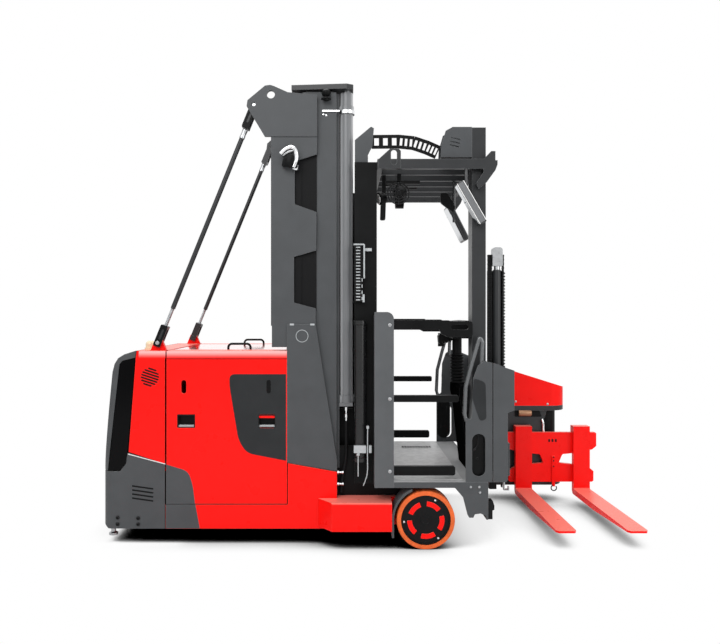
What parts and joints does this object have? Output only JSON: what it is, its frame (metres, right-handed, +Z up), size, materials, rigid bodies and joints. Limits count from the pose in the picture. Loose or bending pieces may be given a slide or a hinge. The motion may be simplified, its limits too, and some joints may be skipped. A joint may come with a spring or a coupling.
{
  "type": "man-up turret truck",
  "caption": "Very narrow aisle truck with a rising operator's cab, a two-stage stayed mast, a battery body and a traversing, swivelling fork head.",
  "frame": {"origin": "on the floor, under the middle of the truck's overall box at rest", "axes": "+X towards the fork head, +Y to the truck's left, +Z up"},
  "size_m": [3.668, 1.45, 3.0769],
  "materials": {
    "body_red": "satin",
    "frame_dark": "satin",
    "panel_grey": "satin",
    "shell_grey": "matte",
    "trim_black": "matte",
    "window_black": "gloss",
    "tyre_orange": "matte",
    "tyre_black": "matte",
    "rim_black": "satin",
    "steel_plain": "brushed",
    "handle_pale": "satin",
    "rubber_black": "matte",
    "battery_grey": "satin",
    "lamp_lens": "gloss"
  },
  "bodies": {
    "chassis": {"chassis_frame": "body_red", "battery": "battery_grey", "rear_bumper": "frame_dark", "rear_cowl": "body_red", "rear_window": "window_black", "rear_crown": "shell_grey", "rear_lining": "frame_dark", "beacon": "lamp_lens", "load_legs": "body_red", "wheel_fenders": "panel_grey", "mast_outer": "frame_dark", "mast_side_plates": "frame_dark", "mast_stays": "frame_dark", "lift_cylinders": "frame_dark"},
    "door_right": {"battery_door_right": "body_red"},
    "door_left": {"battery_door_left": "body_red"},
    "battery_lid": {"battery_lid": "body_red", "lid_handles": "trim_black"},
    "load_wheel_right": {"load_rim_right": "rim_black", "load_tyre_right": "tyre_orange"},
    "load_wheel_left": {"load_rim_left": "rim_black", "load_tyre_left": "tyre_orange"},
    "drive_unit": {"drive_unit": "frame_dark"},
    "drive_wheel": {"drive_rim": "rim_black", "drive_tyre": "tyre_black"},
    "mast_inner": {"mast_inner": "frame_dark", "lift_rods": "steel_plain", "mast_chains": "steel_plain"},
    "cab": {"cab_back": "trim_black", "cab_floor": "frame_dark", "floor_buffers": "rubber_black", "floor_mat": "panel_grey", "cab_posts": "panel_grey", "front_panels": "frame_dark", "grab_handles": "handle_pale", "knee_wall": "trim_black", "bellows": "rubber_black", "console": "trim_black", "roof_frame": "frame_dark", "mirrors": "trim_black", "cab_fan": "trim_black", "aux_column": "frame_dark", "aux_cylinder": "frame_dark", "column_head": "panel_grey", "cable_bracket": "panel_grey", "cable_chain": "trim_black"},
    "gate_right_top": {"gate_right_top": "trim_black"},
    "gate_right_middle": {"gate_right_middle": "trim_black"},
    "gate_right_low": {"gate_right_low": "trim_black"},
    "gate_left_top": {"gate_left_top": "trim_black"},
    "gate_left_middle": {"gate_left_middle": "trim_black"},
    "gate_left_low": {"gate_left_low": "trim_black"},
    "aux_rod": {"aux_rod": "steel_plain", "aux_chain": "trim_black"},
    "traverse_frame": {"traverse_frame": "frame_dark"},
    "turret_head": {"turret_arm": "frame_dark", "turret_hood": "body_red"},
    "fork_carriage": {"fork_carriage": "body_red", "forks": "body_red"}
  },
  "joints": [
    {"name": "door_right_hinge", "type": "hinge", "parent": "chassis", "child": "door_right", "pos_m": [-1.0045, -0.6, 0.266], "axis": [1, 0, 0], "range_deg": [0, 75]},
    {"name": "door_left_hinge", "type": "hinge", "parent": "chassis", "child": "door_left", "pos_m": [-1.0045, 0.6, 0.266], "axis": [-1, 0, 0], "range_deg": [0, 75]},
    {"name": "battery_lid_hinge", "type": "hinge", "parent": "chassis", "child": "battery_lid", "pos_m": [-1.403, 0, 1.288], "axis": [0, -1, 0], "range_deg": [0, 50]},
    {"name": "load_wheel_right_spin", "type": "hinge", "parent": "chassis", "child": "load_wheel_right", "pos_m": [0.313, -0.655, 0.19], "axis": [0, 1, 0], "continuous": true},
    {"name": "load_wheel_left_spin", "type": "hinge", "parent": "chassis", "child": "load_wheel_left", "pos_m": [0.313, 0.655, 0.19], "axis": [0, 1, 0], "continuous": true},
    {"name": "drive_steer", "type": "hinge", "parent": "chassis", "child": "drive_unit", "pos_m": [-1.556, 0, 0.48], "axis": [0, 0, 1], "range_deg": [-90, 90]},
    {"name": "drive_wheel_spin", "type": "hinge", "parent": "drive_unit", "child": "drive_wheel", "pos_m": [-1.556, 0, 0.19], "axis": [0, 1, 0], "continuous": true},
    {"name": "mast_lift", "type": "slide", "parent": "chassis", "child": "mast_inner", "axis": [0, 0, 1], "range_m": [0, 2]},
    {"name": "cab_lift", "type": "slide", "parent": "mast_inner", "child": "cab", "axis": [0, 0, 1], "range_m": [0, 2]},
    {"name": "gate_right_top_hinge", "type": "hinge", "parent": "cab", "child": "gate_right_top", "pos_m": [0.078, -0.695, 1.462], "axis": [0, -1, 0], "range_deg": [0, 80]},
    {"name": "gate_right_middle_hinge", "type": "hinge", "parent": "cab", "child": "gate_right_middle", "pos_m": [0.078, -0.695, 0.981], "axis": [0, -1, 0], "range_deg": [0, 80]},
    {"name": "gate_right_low_hinge", "type": "hinge", "parent": "cab", "child": "gate_right_low", "pos_m": [0.078, -0.695, 0.51], "axis": [0, -1, 0], "range_deg": [0, 80]},
    {"name": "gate_left_top_hinge", "type": "hinge", "parent": "cab", "child": "gate_left_top", "pos_m": [0.078, 0.695, 1.462], "axis": [0, -1, 0], "range_deg": [0, 80]},
    {"name": "gate_left_middle_hinge", "type": "hinge", "parent": "cab", "child": "gate_left_middle", "pos_m": [0.078, 0.695, 0.981], "axis": [0, -1, 0], "range_deg": [0, 80]},
    {"name": "gate_left_low_hinge", "type": "hinge", "parent": "cab", "child": "gate_left_low", "pos_m": [0.078, 0.695, 0.51], "axis": [0, -1, 0], "range_deg": [0, 80]},
    {"name": "aux_lift", "type": "slide", "parent": "cab", "child": "traverse_frame", "axis": [0, 0, 1], "range_m": [0, 1.6]},
    {"name": "aux_rod_lift", "type": "slide", "parent": "cab", "child": "aux_rod", "axis": [0, 0, 1], "range_m": [0, 0.8]},
    {"name": "turret_traverse", "type": "slide", "parent": "traverse_frame", "child": "turret_head", "axis": [0, 1, 0], "range_m": [-1.16, 0]},
    {"name": "fork_swivel", "type": "hinge", "parent": "turret_head", "child": "fork_carriage", "pos_m": [1.466, 0.58, 0.45], "axis": [0, 0, 1], "range_deg": [0, 180]}
  ],
  "couplings": [
    {"joint": "cab_lift", "follows": "mast_lift", "ratio": 1},
    {"joint": "aux_rod_lift", "follows": "aux_lift", "ratio": 0.5},
    {"joint": "gate_right_middle_hinge", "follows": "gate_right_top_hinge", "ratio": 1},
    {"joint": "gate_right_low_hinge", "follows": "gate_right_top_hinge", "ratio": 1},
    {"joint": "gate_left_middle_hinge", "follows": "gate_left_top_hinge", "ratio": 1},
    {"joint": "gate_left_low_hinge", "follows": "gate_left_top_hinge", "ratio": 1}
  ]
}
